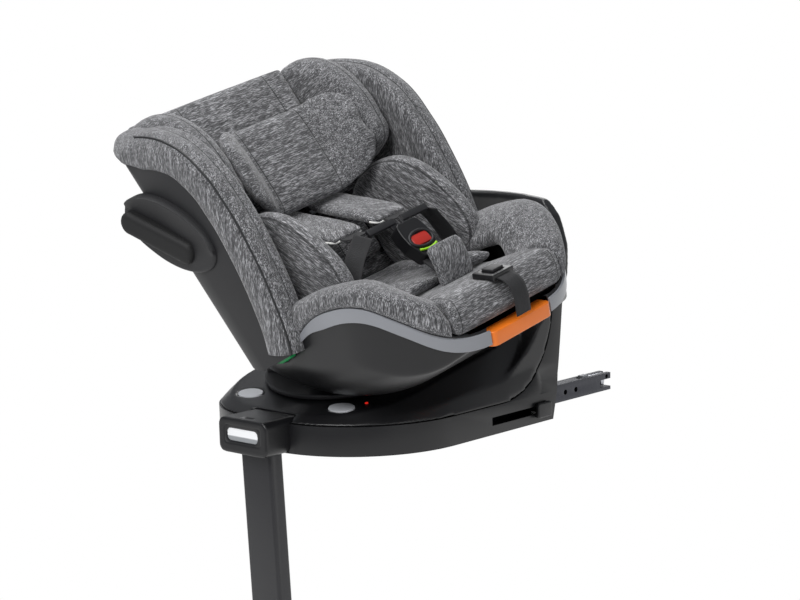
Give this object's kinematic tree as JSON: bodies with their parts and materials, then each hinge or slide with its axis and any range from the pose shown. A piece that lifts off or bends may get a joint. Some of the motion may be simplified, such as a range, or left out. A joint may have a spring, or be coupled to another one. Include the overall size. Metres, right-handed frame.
{
  "type": "convertible child car seat",
  "caption": "Turning child car seat: vehicle-anchor base with rebound bar and support leg, turntable, reclining padded tub, sliding headrest, newborn insert and five-point harness.",
  "frame": {"origin": "point on the base's flat underside where the turntable's axis meets it", "axes": "+Z along the turntable's axis, which is vertical when the base lies on a vehicle cushion that rises 12.5 degrees to its front; +Y towards the anchor arms and the vehicle's backrest; the seat at rest faces +X, the door"},
  "size_m": [0.5604, 0.6876, 0.77],
  "materials": {
    "charcoal_plastic": "fine-grained moulded polypropylene",
    "black_plastic": "satin moulded nylon",
    "base_plastic": "satin moulded ABS",
    "silver_plastic": "satin grey paint on ABS",
    "orange_plastic": "satin coloured ABS",
    "green_plastic": "satin coloured ABS",
    "red_plastic": "gloss coloured acetal",
    "light_plastic": "translucent light grey polycarbonate",
    "steel": "zinc-plated steel",
    "dark_steel": "black powder-coated steel",
    "grey_fabric": "melange woven polyester over foam",
    "webbing": "woven polyester webbing",
    "foam": "expanded polystyrene",
    "rubber": "matte rubber"
  },
  "bodies": {
    "base": {"base_tray": "base_plastic", "base_cover": "base_plastic", "leg_socket": "base_plastic", "leg_window": "light_plastic", "leg_hinge_pin": "steel", "isofix_rails": "steel", "bearing_race": "steel", "spin_post": "steel", "housing_screws": "steel", "base_pads": "rubber", "status_lamp": "red_plastic"},
    "rotation_button_left": {"rotation_button_left": "light_plastic"},
    "rotation_button_right": {"rotation_button_right": "light_plastic"},
    "anchor_arms": {"isofix_arms": "dark_steel", "isofix_knobs": "black_plastic"},
    "hook_left": {"latch_hook_left": "steel"},
    "hook_right": {"latch_hook_right": "steel"},
    "release_left": {"latch_release_left": "black_plastic"},
    "release_right": {"latch_release_right": "black_plastic"},
    "leg_upper": {"leg_outer_tube": "dark_steel", "leg_collar": "black_plastic"},
    "leg_button": {"leg_button": "black_plastic"},
    "leg_lower": {"leg_inner_tube": "dark_steel", "leg_foot": "black_plastic"},
    "carrier": {"turntable": "base_plastic", "bearing_balls": "steel", "recline_cradle": "base_plastic"},
    "tub": {"back_shell": "charcoal_plastic", "pan_shell": "black_plastic", "recline_runners": "steel", "trim_band": "silver_plastic", "pan_foam": "foam", "headrest_rails": "steel", "seat_cushion": "grey_fabric", "back_cushion": "grey_fabric", "body_insert": "grey_fabric", "side_pods": "charcoal_plastic", "belt_guides": "green_plastic", "bolster_left": "grey_fabric", "bolster_right": "grey_fabric", "wing_pad_left": "grey_fabric", "wing_pad_right": "grey_fabric", "shoulder_pads": "grey_fabric", "shoulder_straps": "webbing", "lap_straps": "webbing", "crotch_strap": "webbing", "crotch_pad": "grey_fabric", "buckle_body": "black_plastic", "buckle_tongues": "black_plastic", "adjuster_housing": "black_plastic", "adjuster_strap": "webbing"},
    "recline_handle": {"recline_handle": "orange_plastic"},
    "buckle_button": {"buckle_button": "red_plastic"},
    "adjuster_button": {"adjuster_button": "black_plastic"},
    "headrest": {"headrest_frame": "charcoal_plastic", "headrest_pad": "grey_fabric", "headrest_wing_left": "grey_fabric", "headrest_wing_right": "grey_fabric", "head_pillow": "grey_fabric"},
    "headrest_lever": {"headrest_lever": "black_plastic"}
  },
  "joints": [
    {"name": "seat_turn", "type": "hinge", "parent": "base", "child": "carrier", "pos_m": [0, 0, 0.094], "axis": [0, 0, 1], "continuous": true},
    {"name": "tub_recline", "type": "hinge", "parent": "carrier", "child": "tub", "pos_m": [0.1, 0, 0.442], "axis": [0, 1, 0], "range_deg": [0, 18]},
    {"name": "headrest_height", "type": "slide", "parent": "tub", "child": "headrest", "axis": [-0.5299, 0, 0.848], "range_m": [0, 0.14]},
    {"name": "headrest_lever_pull", "type": "slide", "parent": "headrest", "child": "headrest_lever", "axis": [-0.5299, 0, 0.848], "range_m": [0, 0.006], "stiffness_N_per_m": 600},
    {"name": "recline_handle_lift", "type": "slide", "parent": "tub", "child": "recline_handle", "axis": [0, 0, 1], "range_m": [0, 0.007], "stiffness_N_per_m": 900},
    {"name": "buckle_button_press", "type": "slide", "parent": "tub", "child": "buckle_button", "axis": [-0.7071, 0, -0.7071], "range_m": [0, 0.0025], "stiffness_N_per_m": 1500},
    {"name": "adjuster_button_press", "type": "slide", "parent": "tub", "child": "adjuster_button", "axis": [0, 0, -1], "range_m": [0, 0.0025], "stiffness_N_per_m": 1200},
    {"name": "rotation_button_left_press", "type": "slide", "parent": "base", "child": "rotation_button_left", "axis": [0, 0, -1], "range_m": [0, 0.0025], "stiffness_N_per_m": 1200},
    {"name": "rotation_button_right_press", "type": "slide", "parent": "base", "child": "rotation_button_right", "axis": [0, 0, -1], "range_m": [0, 0.0025], "stiffness_N_per_m": 1200},
    {"name": "leg_fold", "type": "hinge", "parent": "base", "child": "leg_upper", "pos_m": [0, -0.2237, 0.06906], "axis": [1, 0, 0], "range_deg": [0, 76]},
    {"name": "leg_length", "type": "slide", "parent": "leg_upper", "child": "leg_lower", "axis": [0, -0.1754, -0.9845], "range_m": [0, 0.18]},
    {"name": "leg_button_press", "type": "slide", "parent": "leg_upper", "child": "leg_button", "axis": [0, 0.9845, -0.1754], "range_m": [0, 0.003], "stiffness_N_per_m": 900},
    {"name": "anchor_slide", "type": "slide", "parent": "base", "child": "anchor_arms", "axis": [0, -0.9763, 0.2164], "range_m": [0, 0.1]},
    {"name": "latch_release_left_pull", "type": "slide", "parent": "anchor_arms", "child": "release_left", "axis": [0, -0.9763, 0.2164], "range_m": [0, 0.007], "stiffness_N_per_m": 500},
    {"name": "latch_hook_left_turn", "type": "hinge", "parent": "anchor_arms", "child": "hook_left", "pos_m": [-0.14, 0.3394, -0.04759], "axis": [1, 0, 0], "range_deg": [0, 32.1]},
    {"name": "latch_release_right_pull", "type": "slide", "parent": "anchor_arms", "child": "release_right", "axis": [0, -0.9763, 0.2164], "range_m": [0, 0.007], "stiffness_N_per_m": 500},
    {"name": "latch_hook_right_turn", "type": "hinge", "parent": "anchor_arms", "child": "hook_right", "pos_m": [0.14, 0.3394, -0.04759], "axis": [1, 0, 0], "range_deg": [0, 32.1]}
  ],
  "couplings": [
    {"joint": "latch_hook_left_turn", "follows": "latch_release_left_pull", "rad_per_m": 79.787},
    {"joint": "latch_hook_right_turn", "follows": "latch_release_right_pull", "rad_per_m": 79.787}
  ]
}
